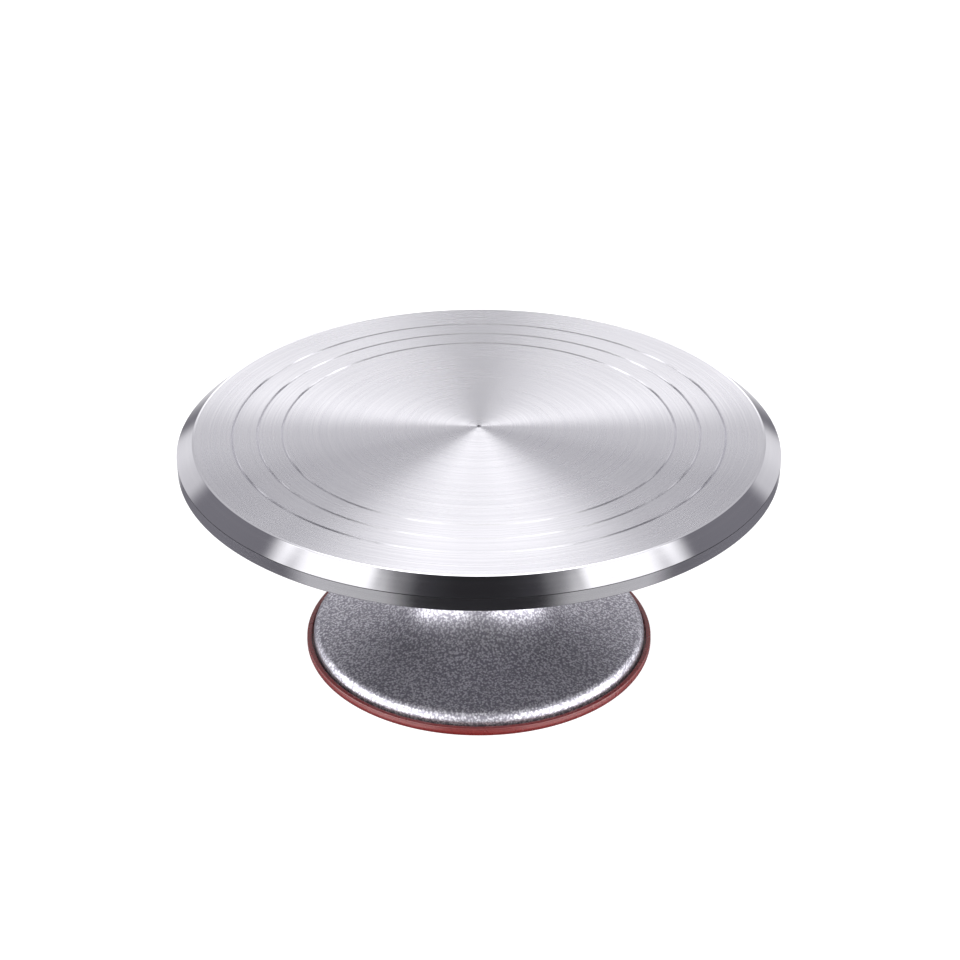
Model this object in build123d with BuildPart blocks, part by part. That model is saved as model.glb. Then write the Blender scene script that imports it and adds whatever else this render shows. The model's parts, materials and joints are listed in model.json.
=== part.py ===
# Cake turntable: a ribbed aluminium plate with a bevelled rim, turning on two sealed ball
# bearings in the neck of a cast aluminium pedestal, which stands on a silicone foot ring.
# Millimetres. The floor is z = 0 and the plate turns about Z.
import os
from math import cos, radians, sin, sqrt, tan

from build123d import *

os.makedirs("parts", exist_ok=True)

# Overall
plate_radius = 152.5
total_height = 126.0
foot_radius = 92.0

# Plate
bevel_width = 8.5
bevel_drop = 6.75
band_height = 6.8
bevel_corner_radius = 0.8
edge_radius = 0.4
web_thickness = 4.5
skirt_thickness = 9.0
skirt_fillet = 2.5
boss_radius = 38.0
boss_depth = 6.5
plate_rib_count = 8
plate_rib_width = 3.0
plate_rib_depth = 4.0
groove_count = 3
groove_pitch = 12.5
outer_groove_inset = 28.0
groove_inner_run = 0.75
groove_outer_run = 0.55
groove_depth = 0.75
centre_mark_radius = 1.3
centre_mark_drill = 0.4
centre_mark_depth = 0.9
centre_mark_angle = 120

# Spindle and what fastens it to the plate
flange_radius = 30.0
flange_thickness = 6.0
spigot_radius = 10.0
spigot_height = 3.0
spigot_clearance = 0.05
spindle_shoulder_radius = 11.5
spindle_chamfer = 0.5
journal_relief = 0.5
flange_screw_count = 4
flange_screw_circle = 22.0
flange_screw_radius = 2.5
flange_screw_head_radius = 5.0
flange_screw_length = 12.0
flange_screw_key = 3.0
countersink_angle = 90
screw_hole_clearance = 0.25
tapped_hole_spare = 1.0

# Ball bearings, 17 x 40 x 12
bearing_bore_radius = 8.5
bearing_outer_radius = 20.0
bearing_width = 12.0
ball_count = 8
ball_radius = 3.375
pitch_radius = 14.25
ball_clearance = 0.05
raceway_radius = 3.51
inner_shoulder_radius = 12.2
outer_shoulder_radius = 16.6
race_edge_radius = 0.6
cage_inner_radius = 12.7
cage_outer_radius = 15.9
cage_height = 8.4
seal_inner_radius = 12.4
seal_outer_radius = 17.2
seal_thickness = 0.8
seal_recess = 1.0

# Stack on the spindle
spacer_length = 27.0
spacer_radius = 11.0
spacer_clearance = 0.05
end_washer_radius = 12.0
end_washer_thickness = 2.5
bolt_radius = 4.0
bolt_length = 20.0
bolt_head_flats = 13.0
bolt_head_height = 5.3
washer_clearance = 0.2
lock_washer_radius = 7.4
lock_washer_thickness = 2.0
lock_washer_split = 1.0

# Neck and what closes it
neck_radius = 28.0
neck_gap = 3.5
neck_chamfer = 1.0
bearing_recess = 3.5
bearing_lip_radius = 17.5
lower_bearing_float = 1.0
circlip_thickness = 1.75
circlip_outer_radius = 21.2
circlip_inner_radius = 17.9
circlip_groove_clearance = 0.05
circlip_gap_angle = 50.0
circlip_lug_radius = 2.5
circlip_lug_circle = 17.3
circlip_lug_hole = 1.25
spring_outer_radius = 19.75
spring_inner_radius = 17.4
spring_thickness = 0.5
spring_height = 1.5
hub_tail = 14.0
cover_thickness = 2.0
cover_edge_clearance = 0.8
cover_hollow_clearance = 0.4
cover_spigot_height = 1.5
cover_spigot_clearance = 0.2
cover_screw_count = 3
cover_screw_radius = 2.0
cover_screw_length = 10.0
cover_screw_head_radius = 3.6
cover_screw_head_height = 2.4
cover_screw_head_fillet = 0.9
cover_screw_key = 2.5

# Pedestal casting
casting_wall = 4.0
flare_radius = 40.0
foot_slope = 10.0
shoulder_radius = 6.0
shoulder_rise = 3.3
hub_rise = 17.5
base_rib_count = 6
base_rib_width = 3.0
base_rib_depth = 4.0
base_rib_start = 31.0

# Foot ring
ring_lip_width = 2.8
ring_lip_gap = 1.0
ring_height = 4.4
ring_lip_radius = 1.3
ring_edge_radius = 0.4
sole_thickness = 2.0
sole_overlap = 2.2
tongue_width = 1.6
tongue_height = 2.0

# Heights down from the plate's top
underside = total_height - web_thickness
rim_bottom = total_height - bevel_drop - band_height
boss_bottom = underside - boss_depth
flange_bottom = boss_bottom - flange_thickness
neck_top = flange_bottom - neck_gap
upper_bearing_top = neck_top - bearing_recess
upper_bearing_bottom = upper_bearing_top - bearing_width
lower_bearing_top = upper_bearing_bottom - spacer_length
lower_bearing_bottom = lower_bearing_top - bearing_width
end_washer_bottom = lower_bearing_bottom - end_washer_thickness
lock_washer_bottom = end_washer_bottom - lock_washer_thickness
lower_circlip_top = lower_bearing_bottom - spring_height
lower_circlip_bottom = lower_circlip_top - circlip_thickness

# The pedestal's outer line: neck, concave flare, straight foot slope, convex shoulder, edge.
casting_radius = foot_radius - ring_lip_width - ring_lip_gap
shoulder_height = sole_thickness + shoulder_rise
slope_sin = sin(radians(foot_slope))
slope_cos = cos(radians(foot_slope))
flare_centre_radius = neck_radius + flare_radius
shoulder_centre_radius = casting_radius - shoulder_radius
slope_start = flare_centre_radius - flare_radius * slope_sin
slope_end = shoulder_centre_radius + shoulder_radius * slope_sin
slope_drop = (slope_end - slope_start) * tan(radians(foot_slope))
flare_top = shoulder_height + (shoulder_radius + flare_radius) * slope_cos + slope_drop
hub_bottom = min(flare_top - hub_rise, lower_bearing_bottom - hub_tail)
cover_screw_circle = (bearing_outer_radius + neck_radius) / 2
hollow_radius = flare_centre_radius - sqrt(
    (flare_radius + casting_wall) ** 2 - (flare_top - hub_bottom) ** 2
)
cover_radius = min(neck_radius - cover_edge_clearance, hollow_radius - cover_hollow_clearance)


def facing_down(height):
    """Plane at a height whose features are cut upwards, with X kept as X."""
    return Plane(origin=(0, 0, height), x_dir=(1, 0, 0), z_dir=(0, 0, -1))


def draw_outline(corners):
    """Draw a closed outline from pairs of corner point and corner radius."""
    FilletPolyline(
        [point for point, _ in corners],
        radius=[radius for _, radius in corners],
        close=True,
    )


def casting_line(depth):
    """Draw the pedestal's line, flare to shoulder, at a depth inside its outer surface."""
    flare = CenterArc((flare_centre_radius, flare_top), flare_radius + depth, 180, 90 - foot_slope)
    shoulder = CenterArc(
        (shoulder_centre_radius, shoulder_height), shoulder_radius - depth, 0, 90 - foot_slope
    )
    Line(flare @ 1, shoulder @ 1)
    return flare @ 0, shoulder @ 0


# ---------------------------------------------------------------- plate

with BuildPart() as turntable_plate:
    with BuildSketch(Plane.XZ):
        skirt_inner_radius = plate_radius - skirt_thickness
        rim_outline = [
            ((0, total_height), 0),
            ((plate_radius - bevel_width, total_height), edge_radius),
            ((plate_radius, total_height - bevel_drop), bevel_corner_radius),
            ((plate_radius, rim_bottom), edge_radius),
            ((skirt_inner_radius, rim_bottom), edge_radius),
            ((skirt_inner_radius, underside), skirt_fillet),
            ((boss_radius, underside), edge_radius),
            ((boss_radius, boss_bottom), edge_radius),
            ((0, boss_bottom), 0),
        ]
        with BuildLine():
            draw_outline(rim_outline)
        make_face()
    revolve(axis=Axis.Z)

    # Ribs under the web: spokes from boss to skirt, and one ring half way.
    rib_bottom = Plane.XY.offset(underside - plate_rib_depth)
    rib_root = plate_rib_depth + web_thickness / 2
    spoke_inner = boss_radius - plate_rib_width
    spoke_outer = skirt_inner_radius + plate_rib_width
    with BuildSketch(rib_bottom):
        with PolarLocations((spoke_inner + spoke_outer) / 2, plate_rib_count):
            Rectangle(spoke_outer - spoke_inner, plate_rib_width)
    extrude(amount=rib_root)
    rib_ring_radius = (boss_radius + skirt_inner_radius) / 2
    with BuildSketch(rib_bottom):
        Circle(rib_ring_radius + plate_rib_width / 2)
        Circle(rib_ring_radius - plate_rib_width / 2, mode=Mode.SUBTRACT)
    extrude(amount=rib_root)

    # V-shaped guide grooves in the top, a little steeper on the outer flank.
    with BuildSketch(Plane.XZ):
        for ring in range(groove_count):
            groove_radius = plate_radius - outer_groove_inset - ring * groove_pitch
            with BuildLine():
                Polyline(
                    (groove_radius - groove_inner_run, total_height),
                    (groove_radius, total_height - groove_depth),
                    (groove_radius + groove_outer_run, total_height),
                    close=True,
                )
            make_face()
    revolve(axis=Axis.Z, mode=Mode.SUBTRACT)

    with Locations((0, 0, total_height)):
        CounterSinkHole(
            centre_mark_drill, centre_mark_radius, depth=centre_mark_depth, counter_sink_angle=centre_mark_angle
        )

    # Seat for the spindle's spigot and blind tapped holes for the flange screws.
    with Locations(facing_down(boss_bottom)):
        Hole(spigot_radius + spigot_clearance, depth=spigot_height + spigot_clearance)
        with PolarLocations(flange_screw_circle, flange_screw_count):
            Hole(
                flange_screw_radius,
                depth=flange_screw_length - flange_thickness + tapped_hole_spare,
            )

turntable_plate.part.label = "turntable_plate"
export_step(turntable_plate.part, "parts/turntable_plate.step")


# ---------------------------------------------------------------- spindle

with BuildPart() as spindle:
    with BuildSketch(Plane.XZ):
        spindle_outline = [
            ((0, boss_bottom + spigot_height), 0),
            ((spigot_radius, boss_bottom + spigot_height), spindle_chamfer),
            ((spigot_radius, boss_bottom), 0),
            ((flange_radius, boss_bottom), 0),
            ((flange_radius, flange_bottom), spindle_chamfer),
            ((spindle_shoulder_radius, flange_bottom), 0),
            ((spindle_shoulder_radius, upper_bearing_top), 0),
            ((bearing_bore_radius, upper_bearing_top), 0),
            ((bearing_bore_radius, lower_bearing_bottom + journal_relief), spindle_chamfer),
            ((0, lower_bearing_bottom + journal_relief), 0),
        ]
        with BuildLine():
            draw_outline(spindle_outline)
        make_face()
    revolve(axis=Axis.Z)
    with Locations(facing_down(flange_bottom)):
        with PolarLocations(flange_screw_circle, flange_screw_count):
            CounterSinkHole(
                flange_screw_radius + screw_hole_clearance,
                flange_screw_head_radius,
                depth=flange_thickness,
                counter_sink_angle=countersink_angle,
            )
    bolt_reach = lock_washer_bottom + bolt_length
    with Locations(facing_down(lower_bearing_bottom + journal_relief)):
        Hole(bolt_radius, depth=bolt_reach - lower_bearing_bottom + tapped_hole_spare)

spindle.part.label = "spindle"
export_step(spindle.part, "parts/spindle.step")

with BuildPart() as flange_screw:
    with BuildSketch(Plane.XZ):
        with BuildLine():
            screw_cone = flange_screw_head_radius - flange_screw_radius
            Polyline(
                (0, 0),
                (flange_screw_head_radius, 0),
                (flange_screw_radius, screw_cone),
                (flange_screw_radius, flange_screw_length),
                (0, flange_screw_length),
                close=True,
            )
        make_face()
    revolve(axis=Axis.Z)
    with BuildSketch(Plane.XY):
        RegularPolygon(flange_screw_key / 2, 6, major_radius=False)
    extrude(amount=screw_cone, mode=Mode.SUBTRACT)

with BuildPart(Plane.XY.offset(flange_bottom)) as flange_screws:
    with PolarLocations(flange_screw_circle, flange_screw_count):
        add(flange_screw.part)

flange_screws.part.label = "flange_screws"
export_step(flange_screws.part, "parts/flange_screws.step")


# ---------------------------------------------------------------- bearings


def make_bearing(name, bottom):
    """Make one sealed deep-groove ball bearing, its five kinds of piece each in a node."""
    middle = bottom + bearing_width / 2
    section_plane = Plane.XZ.shift_origin((0, 0, middle))
    middle_plane = Plane.XY.offset(middle)
    inner_groove = pitch_radius - ball_radius - ball_clearance + raceway_radius
    outer_groove = pitch_radius + ball_radius + ball_clearance - raceway_radius
    seal_height = bearing_width / 2 - seal_recess

    with BuildPart() as inner_race:
        with BuildSketch(section_plane) as inner_section:
            with Locations((bearing_bore_radius, 0)):
                Rectangle(
                    inner_shoulder_radius - bearing_bore_radius,
                    bearing_width,
                    align=(Align.MIN, Align.CENTER),
                )
            fillet(inner_section.vertices().group_by(Axis.X)[0], race_edge_radius)
            with Locations((inner_groove, 0)):
                Circle(raceway_radius, mode=Mode.SUBTRACT)
        revolve(axis=Axis.Z)
    inner_race.part.label = f"{name}_inner_race"
    export_step(inner_race.part, f"parts/{name}_inner_race.step")

    with BuildPart() as outer_race:
        with BuildSketch(section_plane) as outer_section:
            with Locations((bearing_outer_radius, 0)):
                Rectangle(
                    bearing_outer_radius - outer_shoulder_radius,
                    bearing_width,
                    align=(Align.MAX, Align.CENTER),
                )
            fillet(outer_section.vertices().group_by(Axis.X)[-1], race_edge_radius)
            with Locations((outer_groove, 0)):
                Circle(raceway_radius, mode=Mode.SUBTRACT)
            with GridLocations(0, bearing_width - seal_recess, 1, 2):
                with Locations((seal_outer_radius, 0)):
                    Rectangle(
                        seal_outer_radius - cage_outer_radius,
                        seal_recess,
                        align=(Align.MAX, Align.CENTER),
                        mode=Mode.SUBTRACT,
                    )
        revolve(axis=Axis.Z)
    outer_race.part.label = f"{name}_outer_race"
    export_step(outer_race.part, f"parts/{name}_outer_race.step")

    with BuildPart(middle_plane) as balls:
        with PolarLocations(pitch_radius, ball_count):
            Sphere(ball_radius)
    balls.part.label = f"{name}_balls"
    export_step(balls.part, f"parts/{name}_balls.step")

    with BuildPart(middle_plane) as cage:
        with BuildSketch(middle_plane.offset(-cage_height / 2)):
            Circle(cage_outer_radius)
            Circle(cage_inner_radius, mode=Mode.SUBTRACT)
        extrude(amount=cage_height)
        with PolarLocations(pitch_radius, ball_count):
            Cylinder(
                ball_radius + ball_clearance,
                2 * (cage_outer_radius - cage_inner_radius),
                rotation=(0, 90, 0),
                mode=Mode.SUBTRACT,
            )
    cage.part.label = f"{name}_cage"
    export_step(cage.part, f"parts/{name}_cage.step")

    with BuildPart() as seals:
        for seal_bottom in (middle + seal_height, middle - seal_height - seal_thickness):
            with BuildSketch(Plane.XY.offset(seal_bottom)):
                Circle(seal_outer_radius)
                Circle(seal_inner_radius, mode=Mode.SUBTRACT)
            extrude(amount=seal_thickness)
    seals.part.label = f"{name}_seals"
    export_step(seals.part, f"parts/{name}_seals.step")


make_bearing("upper_bearing", upper_bearing_bottom)
make_bearing("lower_bearing", lower_bearing_bottom)

with BuildPart() as bearing_spacer:
    with BuildSketch(Plane.XY.offset(lower_bearing_top)):
        Circle(spacer_radius)
        Circle(bearing_bore_radius + spacer_clearance, mode=Mode.SUBTRACT)
    extrude(amount=spacer_length)

bearing_spacer.part.label = "bearing_spacer"
export_step(bearing_spacer.part, "parts/bearing_spacer.step")


# ---------------------------------------------------------------- end of the spindle

with BuildPart() as end_washer:
    with BuildSketch(Plane.XY.offset(end_washer_bottom)):
        Circle(end_washer_radius)
        Circle(bolt_radius + washer_clearance, mode=Mode.SUBTRACT)
    extrude(amount=end_washer_thickness)
    chamfer(end_washer.edges().filter_by(GeomType.CIRCLE).group_by(SortBy.RADIUS)[-1], edge_radius)

end_washer.part.label = "end_washer"
export_step(end_washer.part, "parts/end_washer.step")

with BuildPart() as lock_washer:
    with BuildSketch(Plane.XY.offset(lock_washer_bottom)):
        Circle(lock_washer_radius)
        Circle(bolt_radius + washer_clearance, mode=Mode.SUBTRACT)
        with Locations((lock_washer_radius, 0)):
            Rectangle(
                lock_washer_radius, lock_washer_split,
                align=(Align.MAX, Align.CENTER), mode=Mode.SUBTRACT,
            )
    extrude(amount=lock_washer_thickness)

lock_washer.part.label = "lock_washer"
export_step(lock_washer.part, "parts/lock_washer.step")

with BuildPart() as end_bolt:
    with BuildSketch(Plane.XY.offset(lock_washer_bottom - bolt_head_height)):
        RegularPolygon(bolt_head_flats / 2, 6, major_radius=False)
    extrude(amount=bolt_head_height)
    with BuildSketch(Plane.XY.offset(lock_washer_bottom)):
        Circle(bolt_radius)
    extrude(amount=bolt_length)

end_bolt.part.label = "end_bolt"
export_step(end_bolt.part, "parts/end_bolt.step")


# ---------------------------------------------------------------- circlips and spring


def make_circlip(name, bottom):
    """Make one internal retaining ring, open between its two eyes."""
    half_gap = circlip_gap_angle / 2
    with BuildPart() as circlip:
        with BuildSketch(Plane.XY.offset(bottom)):
            Circle(circlip_outer_radius)
            Circle(circlip_inner_radius, mode=Mode.SUBTRACT)
            with BuildLine():
                mouth = 2 * circlip_outer_radius
                mouth_side = mouth * sin(radians(half_gap))
                mouth_end = mouth * cos(radians(half_gap))
                Polyline((0, 0), (mouth_end, mouth_side), (mouth_end, -mouth_side), close=True)
            make_face(mode=Mode.SUBTRACT)
            with PolarLocations(
                circlip_lug_circle, 2, start_angle=-half_gap, angular_range=2 * half_gap,
                endpoint=True,
            ):
                Circle(circlip_lug_radius)
                Circle(circlip_lug_hole, mode=Mode.SUBTRACT)
        extrude(amount=circlip_thickness)
    circlip.part.label = name
    export_step(circlip.part, f"parts/{name}.step")


make_circlip("upper_circlip", upper_bearing_top)
make_circlip("lower_circlip", lower_circlip_bottom)

with BuildPart() as preload_spring:
    with BuildSketch(Plane.XZ):
        with BuildLine():
            Polyline(
                (spring_outer_radius, lower_circlip_top),
                (spring_outer_radius, lower_circlip_top + spring_thickness),
                (spring_inner_radius, lower_bearing_bottom),
                (spring_inner_radius, lower_bearing_bottom - spring_thickness),
                close=True,
            )
        make_face()
    revolve(axis=Axis.Z)

preload_spring.part.label = "preload_spring"
export_step(preload_spring.part, "parts/preload_spring.step")


# ---------------------------------------------------------------- pedestal

with BuildPart() as foot_void:
    with BuildSketch(Plane.XZ):
        with BuildLine():
            void_flare, void_edge = casting_line(casting_wall)
            Polyline(void_edge, (void_edge.X, 0), (0, 0), (0, flare_top), void_flare)
        make_face()
    revolve(axis=Axis.Z)
    with BuildSketch(Plane.XY.offset(hub_bottom)):
        Circle(neck_radius)
    extrude(amount=flare_top, mode=Mode.SUBTRACT)

with BuildPart() as base_rib:
    with BuildSketch(Plane.XZ):
        with BuildLine():
            rib_flare, rib_edge = casting_line(casting_wall / 2)
            Polyline(
                rib_edge,
                (rib_edge.X, sole_thickness),
                (0, sole_thickness),
                (0, flare_top),
                rib_flare,
            )
        make_face()
        with BuildLine():
            rib_offset = casting_wall + base_rib_depth
            rib_arc = CenterArc(
                (flare_centre_radius, flare_top), flare_radius + rib_offset, 180, 90 - foot_slope
            )
            rib_run = casting_radius - (rib_arc @ 1).X
            rib_foot = (rib_arc @ 1).Y - rib_run * tan(radians(foot_slope))
            Polyline(
                rib_arc @ 1,
                (casting_radius, rib_foot),
                (casting_radius, sole_thickness - base_rib_depth),
                (0, sole_thickness - base_rib_depth),
                (0, flare_top),
                rib_arc @ 0,
            )
        make_face(mode=Mode.SUBTRACT)
        Rectangle(
            base_rib_start, flare_top, align=(Align.MIN, Align.MIN), mode=Mode.SUBTRACT
        )
    extrude(amount=base_rib_width / 2, both=True)

with BuildPart() as base_casting:
    with BuildSketch(Plane.XZ):
        with BuildLine():
            outer_flare, outer_edge = casting_line(0)
            Polyline(
                outer_edge,
                (casting_radius, sole_thickness),
                (0, sole_thickness),
                (0, neck_top),
                (neck_radius - neck_chamfer, neck_top),
                (neck_radius, neck_top - neck_chamfer),
                outer_flare,
            )
        make_face()
    revolve(axis=Axis.Z)
    add(foot_void.part, mode=Mode.SUBTRACT)
    with PolarLocations(0, base_rib_count):
        add(base_rib.part)

    # Stepped bore: a seat for each bearing, with a lip between them.
    with BuildSketch(Plane.XZ):
        with BuildLine():
            Polyline(
                (0, neck_top),
                (bearing_outer_radius, neck_top),
                (bearing_outer_radius, upper_bearing_bottom),
                (bearing_lip_radius, upper_bearing_bottom),
                (bearing_lip_radius, lower_bearing_top + lower_bearing_float),
                (bearing_outer_radius, lower_bearing_top + lower_bearing_float),
                (bearing_outer_radius, hub_bottom),
                (0, hub_bottom),
                close=True,
            )
        make_face()
        for clip_bottom in (upper_bearing_top, lower_circlip_bottom):
            with Locations((0, clip_bottom - circlip_groove_clearance)):
                Rectangle(
                    circlip_outer_radius + circlip_groove_clearance,
                    circlip_thickness + 2 * circlip_groove_clearance,
                    align=(Align.MIN, Align.MIN),
                )
    revolve(axis=Axis.Z, mode=Mode.SUBTRACT)

    with Locations(facing_down(hub_bottom)):
        with PolarLocations(cover_screw_circle, cover_screw_count):
            Hole(
                cover_screw_radius,
                depth=cover_screw_length - cover_thickness + tapped_hole_spare,
            )

    # Groove in the edge for the foot ring's tongue.
    tongue_radius = casting_radius - casting_wall / 2
    with BuildSketch(Plane.XY.offset(sole_thickness)):
        Circle(tongue_radius + tongue_width / 2)
        Circle(tongue_radius - tongue_width / 2, mode=Mode.SUBTRACT)
    extrude(amount=tongue_height, mode=Mode.SUBTRACT)

base_casting.part.label = "base_casting"
export_step(base_casting.part, "parts/base_casting.step")

with BuildPart() as foot_ring:
    with BuildSketch(Plane.XZ):
        ring_outline = [
            ((casting_radius - casting_wall - sole_overlap, 0), ring_edge_radius),
            ((foot_radius, 0), ring_edge_radius),
            ((foot_radius, ring_height), ring_lip_radius),
            ((foot_radius - ring_lip_width, ring_height), ring_lip_radius),
            ((foot_radius - ring_lip_width, sole_thickness), 0),
            ((tongue_radius + tongue_width / 2, sole_thickness), 0),
            ((tongue_radius + tongue_width / 2, sole_thickness + tongue_height), 0),
            ((tongue_radius - tongue_width / 2, sole_thickness + tongue_height), 0),
            ((tongue_radius - tongue_width / 2, sole_thickness), 0),
            ((casting_radius - casting_wall - sole_overlap, sole_thickness), ring_edge_radius),
        ]
        with BuildLine():
            draw_outline(ring_outline)
        make_face()
    revolve(axis=Axis.Z)

foot_ring.part.label = "foot_ring"
export_step(foot_ring.part, "parts/foot_ring.step")


# ---------------------------------------------------------------- bottom cover

with BuildPart() as bottom_cover:
    with BuildSketch(Plane.XY.offset(hub_bottom - cover_thickness)):
        Circle(cover_radius)
        with PolarLocations(cover_screw_circle, cover_screw_count):
            Circle(cover_screw_radius + screw_hole_clearance, mode=Mode.SUBTRACT)
    extrude(amount=cover_thickness)
    with BuildSketch(Plane.XY.offset(hub_bottom)):
        Circle(bearing_outer_radius - cover_spigot_clearance)
    extrude(amount=cover_spigot_height)

bottom_cover.part.label = "bottom_cover"
export_step(bottom_cover.part, "parts/bottom_cover.step")

with BuildPart() as cover_screw:
    with BuildSketch():
        Circle(cover_screw_head_radius)
    extrude(amount=-cover_screw_head_height)
    fillet(cover_screw.edges().sort_by(Axis.Z)[0], cover_screw_head_fillet)
    with BuildSketch(Plane.XY.offset(-cover_screw_head_height)):
        RegularPolygon(cover_screw_key / 2, 6, major_radius=False)
    extrude(amount=cover_screw_head_height / 2, mode=Mode.SUBTRACT)
    with BuildSketch():
        Circle(cover_screw_radius)
    extrude(amount=cover_screw_length)

with BuildPart(Plane.XY.offset(hub_bottom - cover_thickness)) as cover_screws:
    with PolarLocations(cover_screw_circle, cover_screw_count):
        add(cover_screw.part)

cover_screws.part.label = "cover_screws"
export_step(cover_screws.part, "parts/cover_screws.step")
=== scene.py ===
# A cake turntable in a plain white studio: finer shells, materials, lights and camera.
# Metres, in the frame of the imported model: Z up, the plate turns about Z, the floor is z = 0.
import json
import math

import bmesh
import bpy
from mathutils import Matrix, Vector


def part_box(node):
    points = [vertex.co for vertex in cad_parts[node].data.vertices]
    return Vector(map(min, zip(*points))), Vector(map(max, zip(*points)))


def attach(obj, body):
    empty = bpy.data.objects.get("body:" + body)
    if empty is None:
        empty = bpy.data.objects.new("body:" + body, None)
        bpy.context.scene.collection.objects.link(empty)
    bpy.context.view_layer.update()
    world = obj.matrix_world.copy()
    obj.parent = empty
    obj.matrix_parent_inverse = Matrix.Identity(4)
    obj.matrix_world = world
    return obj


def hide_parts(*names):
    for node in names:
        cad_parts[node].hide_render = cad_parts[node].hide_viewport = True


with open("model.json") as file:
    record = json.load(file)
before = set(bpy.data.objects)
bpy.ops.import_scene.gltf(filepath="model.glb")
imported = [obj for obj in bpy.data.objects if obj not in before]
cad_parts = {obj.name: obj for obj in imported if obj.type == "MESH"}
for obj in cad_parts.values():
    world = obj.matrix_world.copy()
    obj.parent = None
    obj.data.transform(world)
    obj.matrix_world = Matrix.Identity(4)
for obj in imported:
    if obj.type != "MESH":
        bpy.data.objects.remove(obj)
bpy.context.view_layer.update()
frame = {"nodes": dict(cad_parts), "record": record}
nodes = frame["nodes"]
scene = bpy.context.scene
scene.view_settings.view_transform = "Standard"

MM = 0.001
PLATE_LOW, PLATE_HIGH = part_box("turntable_plate")
CASTING_LOW, CASTING_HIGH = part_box("base_casting")
RING_LOW, RING_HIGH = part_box("foot_ring")
PLATE_RADIUS = PLATE_HIGH[0]
TOP = PLATE_HIGH[2]
RING_RADIUS = RING_HIGH[0]
RING_HEIGHT = RING_HIGH[2]


# ---------------------------------------------------------------- camera

LENS = 75.9
SENSOR = 36.0
CAMERA_DISTANCE = 1.0412
CAMERA_ELEVATION = math.radians(28.94)
AIM = Vector((0.00057, 0.0, TOP - 0.03117))


def make_camera():
    """Look at the turntable from the front, a little under 30 degrees above the table."""
    data = bpy.data.cameras.new("studio_camera")
    data.lens = LENS
    data.sensor_width = SENSOR
    camera = bpy.data.objects.new("studio_camera", data)
    back = Vector((0.0, -math.cos(CAMERA_ELEVATION), math.sin(CAMERA_ELEVATION)))
    camera.location = AIM + CAMERA_DISTANCE * back
    camera.rotation_euler = back.to_track_quat("Z", "Y").to_euler()
    scene.collection.objects.link(camera)
    scene.camera = camera


make_camera()


# ---------------------------------------------------------------- node helpers


def new_material(name, **sockets):
    """Make a node material; keyword values go straight onto the Principled BSDF's sockets."""
    material = bpy.data.materials.new(name)
    material.use_nodes = True
    tree = material.node_tree
    shader = tree.nodes["Principled BSDF"]
    for key, value in sockets.items():
        shader.inputs[key.replace("_", " ").title().replace("Ior", "IOR")].default_value = value
    return material, tree, shader


def put(tree, socket, value):
    """Give a socket a constant, or link another node's output into it."""
    if isinstance(value, bpy.types.NodeSocket):
        tree.links.new(value, socket)
    else:
        socket.default_value = value


def maths(tree, operation, *values):
    """Add a Math node on numbers or sockets and return its output."""
    node = tree.nodes.new("ShaderNodeMath")
    node.operation = operation
    for socket, value in zip(node.inputs, values):
        put(tree, socket, value)
    return node.outputs[0]


def vector_maths(tree, operation, *values):
    """Add a Vector Math node on vectors or sockets and return its output."""
    node = tree.nodes.new("ShaderNodeVectorMath")
    node.operation = operation
    for socket, value in zip(node.inputs, values):
        put(tree, socket, value)
    return node.outputs["Value" if operation == "LENGTH" else "Vector"]


def ramp(tree, value, low, high, to_low=0.0, to_high=1.0, smooth=True):
    """Map a value from one range to another, clamped, with a smooth start and end."""
    node = tree.nodes.new("ShaderNodeMapRange")
    node.interpolation_type = "SMOOTHSTEP" if smooth else "LINEAR"
    for socket, number in zip(node.inputs, (value, low, high, to_low, to_high)):
        put(tree, socket, number)
    return node.outputs[0]


def mix_colour(tree, factor, first, second):
    """Blend two colours by a factor."""
    node = tree.nodes.new("ShaderNodeMix")
    node.data_type = "RGBA"
    put(tree, node.inputs["Factor"], factor)
    put(tree, node.inputs["A"], first)
    put(tree, node.inputs["B"], second)
    return next(out for out in node.outputs if out.type == "RGBA")


def noise(tree, place, scale, detail, roughness, dimensions="3D"):
    """Add a noise texture and return its value."""
    node = tree.nodes.new("ShaderNodeTexNoise")
    node.noise_dimensions = dimensions
    put(tree, node.inputs["W" if dimensions == "1D" else "Vector"], place)
    put(tree, node.inputs["Scale"], scale)
    put(tree, node.inputs["Detail"], detail)
    put(tree, node.inputs["Roughness"], roughness)
    return node.outputs[0]


def bump(tree, height, strength, distance):
    """Add a Bump node and return its normal."""
    node = tree.nodes.new("ShaderNodeBump")
    put(tree, node.inputs["Height"], height)
    put(tree, node.inputs["Strength"], strength)
    put(tree, node.inputs["Distance"], distance)
    return node.outputs[0]


def object_place(tree):
    """Where a point of the surface lies on its own object, in metres."""
    return tree.nodes.new("ShaderNodeTexCoord").outputs["Object"]


def across_axis(tree, place):
    """The part of a position that lies across the Z axis."""
    return vector_maths(tree, "MULTIPLY", place, (1, 1, 0))


def split_parts(tree, place):
    """The X, Y and Z of a position."""
    node = tree.nodes.new("ShaderNodeSeparateXYZ")
    put(tree, node.inputs[0], place)
    return node.outputs


def scale(tree, vector, factor):
    """Lengthen or shorten a vector by a number or a socket."""
    longer = vector_maths(tree, "SCALE", vector)
    put(tree, longer.node.inputs["Scale"], factor)
    return longer


def start_group(name, values, results):
    """Make a shader node group with named inputs of a given kind and named outputs that are numbers."""
    group = bpy.data.node_groups.new(name, "ShaderNodeTree")
    for label, kind in values.items():
        group.interface.new_socket(label, in_out="INPUT", socket_type="NodeSocket" + kind)
    for label in results:
        group.interface.new_socket(label, in_out="OUTPUT", socket_type="NodeSocketFloat")
    inside = group.nodes.new("NodeGroupInput").outputs
    outside = group.nodes.new("NodeGroupOutput").inputs
    return group, inside, outside


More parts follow.
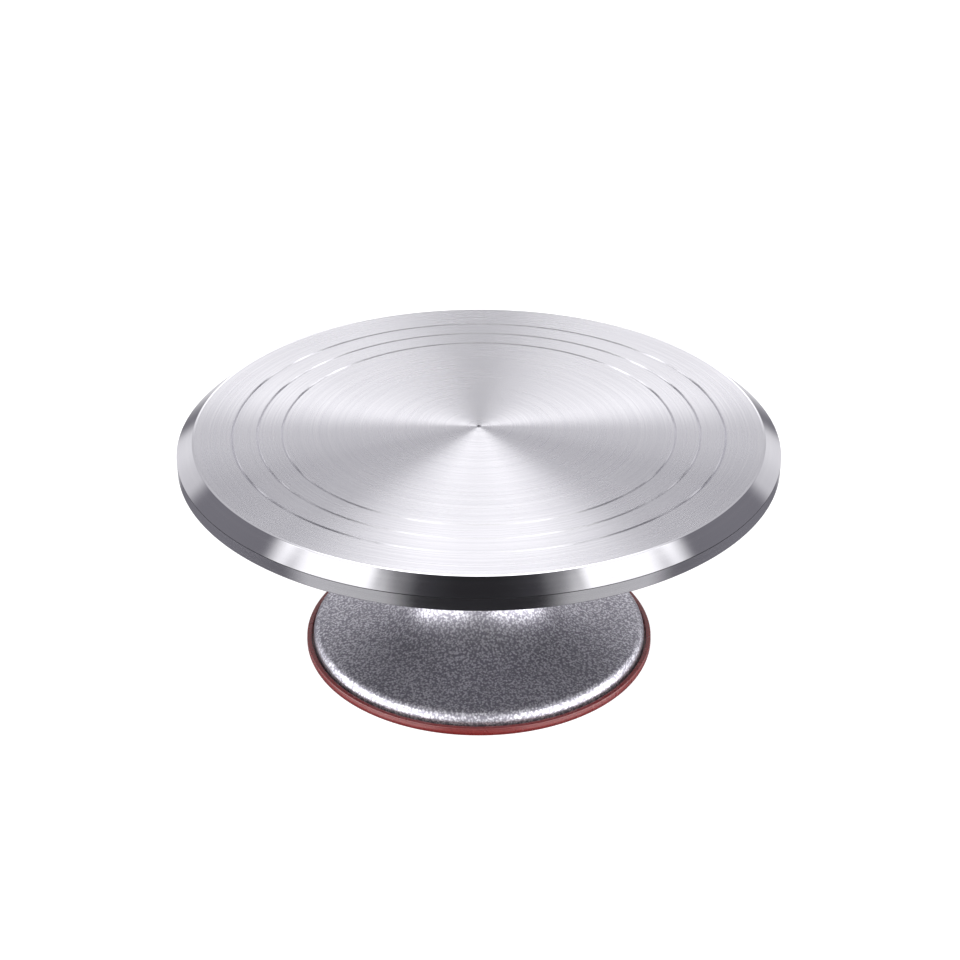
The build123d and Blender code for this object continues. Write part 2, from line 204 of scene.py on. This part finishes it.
def use_group(tree, group, **values):
    """Place a node group in a tree, set or link its inputs by name, and return its outputs."""
    node = tree.nodes.new("ShaderNodeGroup")
    node.node_tree = group
    for key, value in values.items():
        put(tree, node.inputs[key.replace("_", " ").title()], value)
    return node.outputs


# ---------------------------------------------------------------- effects that finishes share

SLOW_BANDS = 0.23
DOT_SHARE = 0.45
DOT_MELTING = 0.4
DOT_HEIGHT = 0.95
CLOUD_SCALE = 0.8


def turning_marks_group():
    """Rings left by a lathe tool: fine marks of a given pitch in mm, with slower bands across them."""
    group, inside, outside = start_group(
        "turning_marks", {"Place": "Vector", "Pitch": "Float", "Bands": "Float"}, ("Tone",)
    )
    height = split_parts(group, inside["Place"])[2]
    radius = vector_maths(group, "LENGTH", across_axis(group, inside["Place"]))
    travel = maths(group, "ADD", radius, height)
    along = maths(group, "DIVIDE", maths(group, "DIVIDE", travel, MM), inside["Pitch"])
    fine = noise(group, along, scale=1.0, detail=2.0, roughness=0.6, dimensions="1D")
    bands = maths(group, "MULTIPLY", along, SLOW_BANDS)
    slow = noise(group, bands, scale=1.0, detail=1.0, roughness=0.5, dimensions="1D")
    swing = maths(group, "MULTIPLY", maths(group, "SUBTRACT", slow, 0.5), inside["Bands"])
    tone = maths(group, "ADD", fine, swing)
    put(group, outside["Tone"], ramp(group, tone, 0.25, 0.75, smooth=False))
    return group


def grain_group():
    """A speckle of soft round grains of a given size in mm, such as shot blasting or a spark texture."""
    group, inside, outside = start_group(
        "grain", {"Place": "Vector", "Size": "Float", "Contrast": "Float"}, ("Tone", "Height")
    )
    scaled = scale(group, inside["Place"], maths(group, "DIVIDE", 1 / MM, inside["Size"]))
    cells = group.nodes.new("ShaderNodeTexVoronoi")
    cells.feature = "SMOOTH_F1"
    put(group, cells.inputs["Vector"], scaled)
    put(group, cells.inputs["Smoothness"], DOT_MELTING)
    put(group, cells.inputs["Scale"], 1.0)
    dot = maths(group, "SUBTRACT", DOT_HEIGHT, cells.outputs["Distance"])
    cloud = noise(group, scaled, scale=CLOUD_SCALE, detail=2.0, roughness=0.55)
    both = maths(group, "MULTIPLY_ADD", dot, DOT_SHARE, maths(group, "MULTIPLY", cloud, 1 - DOT_SHARE))
    lifted = maths(group, "MULTIPLY_ADD", maths(group, "SUBTRACT", both, 0.5), inside["Contrast"], 0.5)
    put(group, outside["Tone"], ramp(group, lifted, 0.2, 0.8))
    put(group, outside["Height"], both)
    return group


def handling_group():
    """Faint smudges and dulled patches from being handled, of a given size in mm."""
    group, inside, outside = start_group("handling", {"Place": "Vector", "Size": "Float"}, ("Smudge",))
    scaled = scale(group, inside["Place"], maths(group, "DIVIDE", 1 / MM, inside["Size"]))
    cloud = noise(group, scaled, scale=1.0, detail=4.0, roughness=0.6)
    put(group, outside["Smudge"], ramp(group, cloud, 0.35, 0.7))
    return group


TURNING_MARKS = turning_marks_group()
GRAIN = grain_group()
HANDLING = handling_group()


# ---------------------------------------------------------------- lathe work

PLATE_SEGMENTS = 512
RING_SEGMENTS = 384
SUPPORT = 0.2 * MM
SHARP = math.radians(25)
ARC_STEP = math.radians(9)
ON_AXIS = 1e-7


def rounded(corners):
    """Turn a closed outline of (r, z, fillet radius) into points, with each corner as an arc."""
    points = []
    count = len(corners)
    for index, (r, z, radius) in enumerate(corners):
        here = Vector((r, z))
        if radius == 0:
            points.append(here)
            continue
        before = Vector(corners[index - 1][:2]) - here
        after = Vector(corners[(index + 1) % count][:2]) - here
        half = before.angle(after) / 2
        reach = radius / math.tan(half)
        start = here + reach * before.normalized()
        end = here + reach * after.normalized()
        centre = here + (before.normalized() + after.normalized()).normalized() * radius / math.sin(half)
        turn = (start - centre).angle_signed(end - centre)
        steps = max(2, math.ceil(abs(turn) / ARC_STEP))
        for step in range(steps + 1):
            arm = start - centre
            angle = -turn * step / steps
            points.append(centre + Vector((
                arm.x * math.cos(angle) - arm.y * math.sin(angle),
                arm.x * math.sin(angle) + arm.y * math.cos(angle),
            )))
    return points


def supported(outline):
    """Add a point near both ends of every long straight stretch, so that it shades flat."""
    points = []
    for index, start in enumerate(outline):
        end = outline[(index + 1) % len(outline)]
        run = end - start
        points.append(start)
        if run.length > 4 * SUPPORT and not (start.x < ON_AXIS and end.x < ON_AXIS):
            step = run.normalized() * SUPPORT
            points += [start + step, end - step]
    return points


def lathe(name, outline, segments, slot_of=None):
    """Spin a closed outline round Z. slot_of gives the material slot of a band from its two ends."""
    mesh = bpy.data.meshes.new(name)
    outline = supported(outline)
    build = bmesh.new()
    rings = []
    for point in outline:
        if point.x < ON_AXIS:
            rings.append([build.verts.new((0, 0, point.y))])
            continue
        rings.append([
            build.verts.new((
                point.x * math.cos(2 * math.pi * step / segments),
                point.x * math.sin(2 * math.pi * step / segments),
                point.y,
            ))
            for step in range(segments)
        ])
    for index, ring in enumerate(rings):
        following = rings[(index + 1) % len(rings)]
        if len(ring) == 1 and len(following) == 1:
            continue
        start, end = outline[index], outline[(index + 1) % len(rings)]
        for step in range(segments):
            nxt = (step + 1) % segments
            if len(ring) == 1:
                corners = (ring[0], following[step], following[nxt])
            elif len(following) == 1:
                corners = (ring[step], following[0], ring[nxt])
            else:
                corners = (ring[step], following[step], following[nxt], ring[nxt])
            face = build.faces.new(corners)
            face.smooth = True
            if slot_of:
                face.material_index = slot_of(start, end)
    bmesh.ops.recalc_face_normals(build, faces=build.faces)
    for edge in build.edges:
        edge.smooth = edge.calc_face_angle(0.0) < SHARP
    build.to_mesh(mesh)
    build.free()
    piece = bpy.data.objects.new(name, mesh)
    scene.collection.objects.link(piece)
    return piece


# ---------------------------------------------------------------- plate

BEVEL_WIDTH = 8.5 * MM
BEVEL_DROP = 6.75 * MM
LAND_WIDTH = 1.1 * MM
LAND_SLOPE = math.radians(13)
LAND_DROP = LAND_WIDTH * math.tan(LAND_SLOPE)
LAND_EDGE = 0.3 * MM
EDGE = 0.4 * MM
HAIRLINE = 0.35 * MM
RIM_BOTTOM = PLATE_LOW[2]
WEB = 4.5 * MM
SKIRT = 9.0 * MM
SKIRT_FILLET = 2.5 * MM
BOSS_RADIUS = 38.0 * MM
SPIGOT_RADIUS = 10.05 * MM
SPIGOT_HEIGHT = 3.0 * MM
BOSS_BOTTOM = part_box("spindle")[1][2] - SPIGOT_HEIGHT
RIB_WIDTH = 3.0 * MM
RIB_DEPTH = 4.0 * MM
RIB_COUNT = 8
RIB_RING_RADIUS = (BOSS_RADIUS + PLATE_RADIUS - SKIRT) / 2
SCREW_CIRCLE = 22.0 * MM
SCREW_RADIUS = 2.5 * MM
SCREW_COUNT = 4
SCREW_HOLE_DEPTH = 7.0 * MM
SCREW_SEGMENTS = 32
OUTER_GROOVE_INSET = 28.0 * MM
GROOVE_PITCH = 12.5 * MM
GROOVE_COUNT = 3
GROOVE_INNER_RUN = 0.75 * MM
GROOVE_OUTER_RUN = 0.55 * MM
GROOVE_DEPTH = 0.75 * MM
CENTRE_MARK_RADIUS = 1.3 * MM
CENTRE_MARK_DEPTH = 0.9 * MM
FACE_TOLERANCE = 0.001 * MM
FACE, GROOVE, BEVEL, SEAM, BAND, UNDER = range(6)


def groove_outline():
    """The V-shaped guide grooves and the centre mark, from the middle outwards."""
    points = [Vector((0, TOP - CENTRE_MARK_DEPTH)), Vector((CENTRE_MARK_RADIUS, TOP))]
    for groove in reversed(range(GROOVE_COUNT)):
        radius = PLATE_RADIUS - OUTER_GROOVE_INSET - GROOVE_PITCH * groove
        points.append(Vector((radius - GROOVE_INNER_RUN, TOP)))
        points.append(Vector((radius, TOP - GROOVE_DEPTH)))
        points.append(Vector((radius + GROOVE_OUTER_RUN, TOP)))
    return points


def plate_outline():
    """The plate's section: face, polished bevel, hairline, band, skirt, ribbed web and boss."""
    under = TOP - WEB
    rib_out = RIB_RING_RADIUS + RIB_WIDTH / 2
    rib_in = RIB_RING_RADIUS - RIB_WIDTH / 2
    band_top = TOP - BEVEL_DROP
    rim = rounded([
        (0.0, TOP, 0.0),
        (PLATE_RADIUS - BEVEL_WIDTH - LAND_WIDTH / 2, TOP, 0.0),
        (PLATE_RADIUS - BEVEL_WIDTH + LAND_WIDTH / 2, TOP - LAND_DROP, LAND_EDGE),
        (PLATE_RADIUS, band_top, 0.0),
        (PLATE_RADIUS - HAIRLINE, band_top - HAIRLINE / 2, 0.0),
        (PLATE_RADIUS, band_top - HAIRLINE, 0.0),
        (PLATE_RADIUS, RIM_BOTTOM, EDGE),
        (PLATE_RADIUS - SKIRT, RIM_BOTTOM, EDGE),
        (PLATE_RADIUS - SKIRT, under, SKIRT_FILLET),
        (rib_out, under, EDGE),
        (rib_out, under - RIB_DEPTH, EDGE),
        (rib_in, under - RIB_DEPTH, EDGE),
        (rib_in, under, EDGE),
        (BOSS_RADIUS, under, EDGE),
        (BOSS_RADIUS, BOSS_BOTTOM, EDGE),
        (SPIGOT_RADIUS, BOSS_BOTTOM, 0.0),
        (SPIGOT_RADIUS, BOSS_BOTTOM + SPIGOT_HEIGHT, 0.0),
        (0.0, BOSS_BOTTOM + SPIGOT_HEIGHT, 0.0),
    ])
    return groove_outline() + rim[1:]


def plate_slot(start, end):
    """Choose the finish of one band of the plate from where it lies."""
    middle = (start + end) / 2
    band_top = TOP - BEVEL_DROP
    face_edge = PLATE_RADIUS - BEVEL_WIDTH - LAND_WIDTH / 2
    if middle.x < face_edge and middle.y > TOP - CENTRE_MARK_DEPTH:
        return FACE if middle.y > TOP - FACE_TOLERANCE else GROOVE
    if middle.y > band_top and middle.x > PLATE_RADIUS - SKIRT - LAND_WIDTH:
        return BEVEL
    if middle.y > band_top - HAIRLINE and middle.x > PLATE_RADIUS - SKIRT / 2:
        return SEAM
    if middle.x > PLATE_RADIUS - SKIRT / 2:
        return BAND
    return UNDER


def bar(build, centre, size, turn):
    """Add a closed bar to a bmesh, turned about Z."""
    spin = Matrix.Rotation(turn, 4, "Z")
    place = Matrix.Translation(centre)
    stretch = Matrix.Diagonal((*size, 1.0))
    bmesh.ops.create_cube(build, size=1.0, matrix=spin @ place @ stretch)


def boolean(piece, build, operation):
    """Join a bmesh to a piece, or cut it away, and leave the result in the piece's own mesh."""
    mesh = bpy.data.meshes.new("tool")
    build.to_mesh(mesh)
    build.free()
    tool = bpy.data.objects.new("tool", mesh)
    scene.collection.objects.link(tool)
    change = piece.modifiers.new("change", "BOOLEAN")
    change.operation = operation
    change.solver = "EXACT"
    change.object = tool
    result = bpy.data.meshes.new_from_object(piece.evaluated_get(bpy.context.evaluated_depsgraph_get()))
    piece.modifiers.clear()
    piece.data = result
    bpy.data.objects.remove(tool)


def add_spokes(piece):
    """Join the spokes between boss and skirt to the plate."""
    under = TOP - WEB
    build = bmesh.new()
    inner = BOSS_RADIUS - RIB_WIDTH
    outer = PLATE_RADIUS - SKIRT + RIB_WIDTH
    centre = ((inner + outer) / 2, 0, under - RIB_DEPTH / 2 + WEB / 4)
    size = (outer - inner, RIB_WIDTH, RIB_DEPTH + WEB / 2)
    for spoke in range(RIB_COUNT):
        bar(build, centre, size, 2 * math.pi * spoke / RIB_COUNT)
    for face in build.faces:
        face.material_index = UNDER
    boolean(piece, build, "UNION")


def drill_boss(piece):
    """Cut the blind holes for the flange screws."""
    build = bmesh.new()
    for hole in range(SCREW_COUNT):
        angle = 2 * math.pi * hole / SCREW_COUNT
        place = Matrix.Translation((
            SCREW_CIRCLE * math.cos(angle), SCREW_CIRCLE * math.sin(angle), BOSS_BOTTOM,
        ))
        bmesh.ops.create_cone(
            build, cap_ends=True, segments=SCREW_SEGMENTS, radius1=SCREW_RADIUS, radius2=SCREW_RADIUS,
            depth=2 * SCREW_HOLE_DEPTH, matrix=place,
        )
    for face in build.faces:
        face.material_index = UNDER
    boolean(piece, build, "DIFFERENCE")


def make_plate():
    """The turned plate, with its finishes in the order of plate_slot's numbers."""
    plate = lathe("turned_plate", plate_outline(), PLATE_SEGMENTS, plate_slot)
    # The hairline's finish is painted shade: near-black, in place of its shadow.
    rim_finishes = (polished_bevel, painted_shade_hairline, turned_band)
    for finish in (turned_face, turned_groove, *rim_finishes, plate_underside):
        plate.data.materials.append(finish())
    add_spokes(plate)
    drill_boss(plate)
    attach(plate, "turntable")
    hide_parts("turntable_plate")


# ---------------------------------------------------------------- foot ring

LIP_WIDTH = 2.8 * MM
LIP_HEIGHT = 0.65 * MM
LIP_EDGE = 0.35 * MM
LIP_FILLET = 0.7 * MM
LIP_GROOVE = 0.3 * MM
LIP_GROOVE_DEPTH = 0.6 * MM
LIP_GROOVE_EDGE = 0.1 * MM
BULGE_HEIGHT = 1.5 * MM
BULGE_FILLET = 3.0 * MM
WALL_FOOT_INSET = 0.6 * MM
WALL_TOP_INSET = 0.25 * MM
LIP_FOOT_INSET = 0.15 * MM
SOLE = 2.0 * MM
SOLE_INNER = 82.0 * MM
TONGUE_INNER = 85.4 * MM
TONGUE_OUTER = 87.0 * MM
TONGUE_HEIGHT = 2.0 * MM


def ring_outline():
    """The ring's section: sole, bulging wall, fine groove, rounded lip and the tongue in the casting."""
    lip_inner = RING_RADIUS - LIP_WIDTH
    groove = RING_HEIGHT - LIP_HEIGHT
    return rounded([
        (SOLE_INNER, 0.0, EDGE),
        (RING_RADIUS - WALL_FOOT_INSET, 0.0, EDGE),
        (RING_RADIUS, BULGE_HEIGHT, BULGE_FILLET),
        (RING_RADIUS - WALL_TOP_INSET, groove - LIP_GROOVE / 2, LIP_GROOVE_EDGE),
        (RING_RADIUS - LIP_GROOVE_DEPTH, groove, 0.0),
        (RING_RADIUS - LIP_FOOT_INSET, groove + LIP_GROOVE / 2, LIP_GROOVE_EDGE),
        (RING_RADIUS - LIP_EDGE, RING_HEIGHT, LIP_EDGE),
        (lip_inner, RING_HEIGHT, LIP_FILLET),
        (lip_inner, SOLE, 0.0),
        (TONGUE_OUTER, SOLE, 0.0),
        (TONGUE_OUTER, SOLE + TONGUE_HEIGHT, 0.0),
        (TONGUE_INNER, SOLE + TONGUE_HEIGHT, 0.0),
        (TONGUE_INNER, SOLE, 0.0),
        (SOLE_INNER, SOLE, EDGE),
    ])


def make_ring():
    """The silicone ring round and under the foot's edge."""
    ring = lathe("silicone_ring", ring_outline(), RING_SEGMENTS)
    ring.data.materials.append(silicone())
    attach(ring, "base")
    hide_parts("foot_ring")


# ---------------------------------------------------------------- finishes

TOOL_LEAN = math.tan(math.radians(12))
FACE_ROUGHNESS = 0.27
FACE_WEAR = 0.015
MARK_GLOSS = 0.02
QUARTER_TURN = 0.25


def leaning_normal(tree, place):
    """Tilt the shading outwards, because each tool mark on the face is a tiny step that leans away."""
    geometry = tree.nodes.new("ShaderNodeNewGeometry")
    outward = vector_maths(tree, "NORMALIZE", across_axis(tree, place))
    turned = tree.nodes.new("ShaderNodeVectorTransform")
    turned.vector_type = "NORMAL"
    turned.convert_from = "OBJECT"
    turned.convert_to = "WORLD"
    put(tree, turned.inputs[0], outward)
    lean = scale(tree, turned.outputs[0], TOOL_LEAN)
    return vector_maths(tree, "NORMALIZE", vector_maths(tree, "ADD", geometry.outputs["Normal"], lean))


def turned_face():
    """Aluminium faced on a lathe: a fan of light over rings of tool marks."""
    material, tree, shader = new_material("turned_face_aluminium", metallic=1.0, anisotropic=1.0)
    place = object_place(tree)
    marks = use_group(tree, TURNING_MARKS, place=place, pitch=0.9, bands=0.5)
    smudge = use_group(tree, HANDLING, place=place, size=60.0)["Smudge"]
    dark, bright = (0.87, 0.865, 0.9), (0.93, 0.925, 0.95)
    put(tree, shader.inputs["Base Color"], mix_colour(tree, marks["Tone"], (*dark, 1), (*bright, 1)))
    worn = maths(tree, "MULTIPLY_ADD", smudge, FACE_WEAR, FACE_ROUGHNESS)
    put(tree, shader.inputs["Roughness"], maths(tree, "MULTIPLY_ADD", marks["Tone"], -MARK_GLOSS, worn))
    shader.inputs["Anisotropic Rotation"].default_value = QUARTER_TURN
    tangent = tree.nodes.new("ShaderNodeTangent")
    tangent.direction_type = "RADIAL"
    tangent.axis = "Z"
    put(tree, shader.inputs["Tangent"], tangent.outputs[0])
    put(tree, shader.inputs["Normal"], leaning_normal(tree, place))
    return material


def turned_metal(name, dark, bright, smooth, rough, pitch=0.5):
    """A turned metal surface: rings of tone and gloss, dulled a little where it is handled."""
    material, tree, shader = new_material(name, metallic=1.0)
    place = object_place(tree)
    marks = use_group(tree, TURNING_MARKS, place=place, pitch=pitch, bands=0.6)
    smudge = use_group(tree, HANDLING, place=place, size=25.0)["Smudge"]
    put(tree, shader.inputs["Base Color"], mix_colour(tree, marks["Tone"], (*dark, 1), (*bright, 1)))
    gloss = maths(tree, "MULTIPLY_ADD", marks["Tone"], 0.6, maths(tree, "MULTIPLY", smudge, 0.4))
    put(tree, shader.inputs["Roughness"], ramp(tree, gloss, 0.0, 1.0, smooth, rough, smooth=False))
    return material


def turned_groove():
    """The walls of the guide grooves, a little duller than the bevel."""
    dark, bright = (0.84, 0.835, 0.87), (0.92, 0.915, 0.94)
    return turned_metal("turned_groove_aluminium", dark, bright, smooth=0.16, rough=0.22)


def polished_bevel():
    """The bevel and the land above it, polished almost to a mirror."""
    dark, bright = (0.91, 0.905, 0.935), (0.94, 0.935, 0.96)
    return turned_metal("polished_bevel_aluminium", dark, bright, smooth=0.06, rough=0.09)


def painted_shade_hairline():
    """Painted shade: a near-black finish in the hairline between bevel and band, in place of the shadow the
    slot would hold.
    """
    dark, bright = (0.008, 0.008, 0.01), (0.02, 0.02, 0.023)
    return moulded("painted_shade_hairline", dark, bright, size=0.4, smooth=0.5, rough=0.7, depth=0.02 * MM)


def turned_band():
    """The upright band of the rim, turned but not polished."""
    dark, bright = (0.87, 0.865, 0.9), (0.92, 0.915, 0.945)
    return turned_metal("turned_band_aluminium", dark, bright, smooth=0.12, rough=0.16)


def cast_skin(name, dark, bright, size, smooth, rough, depth):
    """A blasted or sand-cast metal skin: bright grains on a darker ground."""
    material, tree, shader = new_material(name, metallic=0.8)
    place = object_place(tree)
    grain = use_group(tree, GRAIN, place=place, size=size, contrast=1.5)
    cloud = use_group(tree, HANDLING, place=place, size=22.0)["Smudge"]
    tone = maths(tree, "MULTIPLY_ADD", cloud, -0.12, grain["Tone"])
    brightness = ramp(tree, tone, 0.0, 1.0)
    put(tree, shader.inputs["Base Color"], mix_colour(tree, brightness, (*dark, 1), (*bright, 1)))
    put(tree, shader.inputs["Roughness"], ramp(tree, tone, 0.0, 1.0, rough, smooth))
    put(tree, shader.inputs["Normal"], bump(tree, grain["Height"], 0.5, depth))
    return material


def blasted_casting():
    """The pedestal's shot-blasted skin."""
    dark, bright = (0.3, 0.29, 0.335), (0.8, 0.79, 0.84)
    return cast_skin("blasted_cast_aluminium", dark, bright, 1.15, smooth=0.28, rough=0.36, depth=0.04 * MM)


def plate_underside():
    """The plate's underside, left as it came out of the sand."""
    dark, bright = (0.26, 0.255, 0.29), (0.44, 0.435, 0.47)
    return cast_skin("sand_cast_underside", dark, bright, 0.8, smooth=0.38, rough=0.52, depth=0.08 * MM)


def moulded(name, dark, bright, size, smooth, rough, depth, **sockets):
    """A moulded rubber or plastic: a fine texture from its mould, with slow patches of gloss."""
    material, tree, shader = new_material(name, **sockets)
    place = object_place(tree)
    grain = use_group(tree, GRAIN, place=place, size=size, contrast=1.2)
    patch = use_group(tree, HANDLING, place=place, size=12.0)["Smudge"]
    put(tree, shader.inputs["Base Color"], mix_colour(tree, grain["Tone"], (*dark, 1), (*bright, 1)))
    put(tree, shader.inputs["Roughness"], ramp(tree, patch, 0.0, 1.0, smooth, rough))
    put(tree, shader.inputs["Normal"], bump(tree, grain["Height"], 0.3, depth))
    return material


def silicone():
    """The foot ring's glossy brown-red silicone."""
    dark, bright = (0.17, 0.018, 0.018), (0.22, 0.028, 0.025)
    texture = {"size": 0.9, "smooth": 0.24, "rough": 0.32, "depth": 0.02 * MM}
    return moulded("brown_red_silicone", dark, bright, **texture, specular_ior_level=0.9)


def seal_rubber():
    """Black rubber of the bearing seals."""
    dark, bright = (0.012, 0.012, 0.013), (0.025, 0.025, 0.027)
    return moulded("black_seal_rubber", dark, bright, size=0.5, smooth=0.45, rough=0.6, depth=0.03 * MM)


def cage_nylon():
    """Uncoloured nylon of the ball cages."""
    dark, bright = (0.62, 0.57, 0.44), (0.7, 0.65, 0.52)
    return moulded("natural_nylon", dark, bright, size=0.7, smooth=0.38, rough=0.5, depth=0.02 * MM)


def cover_plastic():
    """Dark grey plastic of the bottom cover."""
    dark, bright = (0.05, 0.05, 0.055), (0.085, 0.085, 0.09)
    return moulded("grey_cover_plastic", dark, bright, size=0.6, smooth=0.4, rough=0.55, depth=0.05 * MM)


def spindle_steel():
    """Turned mild steel of the spindle."""
    dark, bright = (0.5, 0.5, 0.515), (0.64, 0.64, 0.65)
    return turned_metal("turned_spindle_steel", dark, bright, smooth=0.2, rough=0.32, pitch=0.35)


def bearing_steel():
    """Ground steel of the races and balls."""
    dark, bright = (0.58, 0.58, 0.595), (0.66, 0.66, 0.675)
    return turned_metal("ground_bearing_steel", dark, bright, smooth=0.07, rough=0.15, pitch=0.2)


def plated(name, dark, bright, size, smooth, rough):
    """A plated or phosphated steel skin: cloudy colour and gloss."""
    material, tree, shader = new_material(name, metallic=1.0)
    place = object_place(tree)
    cloud = use_group(tree, HANDLING, place=place, size=size)["Smudge"]
    grain = use_group(tree, GRAIN, place=place, size=0.4, contrast=1.0)["Tone"]
    tone = maths(tree, "MULTIPLY_ADD", grain, 0.35, maths(tree, "MULTIPLY", cloud, 0.65))
    put(tree, shader.inputs["Base Color"], mix_colour(tree, tone, (*dark, 1), (*bright, 1)))
    put(tree, shader.inputs["Roughness"], ramp(tree, tone, 0.0, 1.0, rough, smooth, smooth=False))
    return material


def zinc_plating():
    """Clear zinc on the screws, the bolt and its washers."""
    dark, bright = (0.58, 0.6, 0.66), (0.74, 0.745, 0.74)
    return plated("clear_zinc_plating", dark, bright, size=4.0, smooth=0.22, rough=0.36)


def spring_steel():
    """Dark phosphated steel of the circlips and the disc spring."""
    dark, bright = (0.09, 0.085, 0.08), (0.17, 0.165, 0.16)
    return plated("phosphated_spring_steel", dark, bright, size=3.0, smooth=0.3, rough=0.46)


def dress_cad_nodes():
    """Give every piece that comes straight from the model the finish of its material slot."""
    finishes = {
        "cast_aluminium": blasted_casting(),
        "spindle_steel": spindle_steel(),
        "zinc_screws": zinc_plating(),
        "bearing_steel": bearing_steel(),
        "cage_nylon": cage_nylon(),
        "seal_rubber": seal_rubber(),
        "spring_steel": spring_steel(),
        "cover_plastic": cover_plastic(),
    }
    for part in frame["record"]["subparts"]:
        if part["material_slot"] in finishes:
            for slot in nodes[part["node"]].material_slots:
                slot.material = finishes[part["material_slot"]]


make_plate()
make_ring()
dress_cad_nodes()


# ---------------------------------------------------------------- studio

FLOOR_SIZE = 8.0
FLOOR_GLOW = 0.9
FLOOR_GREY = (0.35, 0.35, 0.35, 1)
WHITE = (1, 1, 1, 1)


def make_floor():
    """A pale floor with hardly a shadow. The metal mirrors the studio's lower light instead of it."""
    mesh = bpy.data.meshes.new("floor")
    half = FLOOR_SIZE / 2
    corners = [(-half, -half, 0), (half, -half, 0), (half, half, 0), (-half, half, 0)]
    mesh.from_pydata(corners, [], [(0, 1, 2, 3)])
    floor = bpy.data.objects.new("floor", mesh)
    scene.collection.objects.link(floor)
    material, tree, shader = new_material("pale_floor", roughness=0.9)
    shader.inputs["Base Color"].default_value = FLOOR_GREY
    shader.inputs["Emission Color"].default_value = WHITE
    shader.inputs["Emission Strength"].default_value = FLOOR_GLOW
    mesh.materials.append(material)
    floor.visible_glossy = False
    floor.visible_diffuse = False


def panel_group():
    """A soft-edged light panel on the sky, placed by azimuth and elevation in degrees."""
    place = ("Azimuth", "Elevation", "Centre Azimuth", "Centre Elevation")
    size = ("Half Width", "Half Height", "Soft")
    values = {name: "Float" for name in place + size}
    group, inside, outside = start_group("studio_panel", values, ("Mask",))
    masks = []
    for axis, half in (("Azimuth", "Half Width"), ("Elevation", "Half Height")):
        away = maths(group, "ABSOLUTE", maths(group, "SUBTRACT", inside[axis], inside["Centre " + axis]))
        past = maths(group, "SUBTRACT", away, inside[half])
        masks.append(ramp(group, maths(group, "DIVIDE", past, inside["Soft"]), -1.0, 1.0, 1.0, 0.0))
    put(group, outside["Mask"], maths(group, "MULTIPLY", *masks))
    return group


# Each panel: azimuth from straight behind, elevation, half width, half height, softness, strength.
# The angles are in degrees, and every panel is mirrored to the other side.
PANELS = {
    "back_fill": (0, 34, 38, 32, 10, 0.34),
    "back_high": (0, 61, 24, 11, 6, 1.65),
    "back_low": (11, 12, 8, 10, 4, 0.95),
    "back_side": (40, 8, 12, 13, 4, 0.4),
    "back_floor": (0, -26, 20, 16, 8, 0.5),
    "side_low": (88, -6, 40, 16, 5, 1.1),
    "side_mid": (92, 15, 28, 8, 4, 1.8),
    "side_high": (101, 56, 19, 8, 3, 1.0),
    "side_edge": (84, 49, 4, 5, 3, 1.0),
    "side_glow": (126, 64, 12, 8, 6, 0.12),
    "front_high": (180, 56, 58, 5, 4, 1.6),
    "front_mid": (180, 43, 75, 7, 5, 0.15),
    "front_low": (180, 8, 60, 26, 6, 1.0),
    "front_sides": (118, 4, 38, 26, 5, 2.4),
    "floor_side": (129, -33, 21, 10, 7, 0.4),
}
# A lamp high in front that only the matt surfaces take light from.
KEY = (180, 50, 80, 4, 4)
KEY_STRENGTH = 2.6
PANEL_TINT = (0.995, 0.99, 1.0)
# Between the panels: grey from behind to the side, falling to near black in front.
FILL_TINT = (0.99, 0.965, 1.09)
FILL_GREY = 0.18
FILL_BLACK = 0.02
FILL_FALLS_FROM = 60
FILL_FALLS_TO = 170


def add_panel(tree, group, label, *values):
    """Place one light panel in the world and return its mask."""
    panel = tree.nodes.new("ShaderNodeGroup")
    panel.node_tree = group
    panel.label = label
    for socket, value in zip(panel.inputs, values):
        put(tree, socket, value)
    return panel.outputs["Mask"]


def make_world():
    """The studio: soft panels that the metal mirrors, on a backdrop that looks plain white."""
    world = bpy.data.worlds.new("studio")
    world.use_nodes = True
    tree = world.node_tree
    background = tree.nodes["Background"]
    way = tree.nodes.new("ShaderNodeTexCoord").outputs["Generated"]
    x, y, z = split_parts(tree, vector_maths(tree, "NORMALIZE", way))
    azimuth = maths(tree, "DEGREES", maths(tree, "ABSOLUTE", maths(tree, "ARCTAN2", x, y)))
    elevation = maths(tree, "DEGREES", maths(tree, "ARCSINE", z))
    group = panel_group()
    panels = 0.0
    for name, (*shape, strength) in PANELS.items():
        mask = add_panel(tree, group, name, azimuth, elevation, *shape)
        panels = maths(tree, "MULTIPLY_ADD", mask, strength, panels)
    path = tree.nodes.new("ShaderNodeLightPath")
    key = add_panel(tree, group, "front_key", azimuth, elevation, *KEY)
    matt_only = maths(tree, "MULTIPLY", path.outputs["Is Diffuse Ray"], KEY_STRENGTH)
    panels = maths(tree, "MULTIPLY_ADD", key, matt_only, panels)
    fill = ramp(tree, azimuth, FILL_FALLS_FROM, FILL_FALLS_TO, FILL_GREY, FILL_BLACK)
    lit = scale(tree, PANEL_TINT, panels)
    filled = scale(tree, FILL_TINT, fill)
    put(tree, background.inputs["Color"], vector_maths(tree, "ADD", lit, filled))
    white = tree.nodes.new("ShaderNodeBackground")
    white.inputs["Color"].default_value = WHITE
    either = tree.nodes.new("ShaderNodeMixShader")
    put(tree, either.inputs[0], path.outputs["Is Camera Ray"])
    put(tree, either.inputs[1], background.outputs[0])
    put(tree, either.inputs[2], white.outputs[0])
    put(tree, tree.nodes["World Output"].inputs["Surface"], either.outputs[0])
    scene.world = world


make_floor()
make_world()
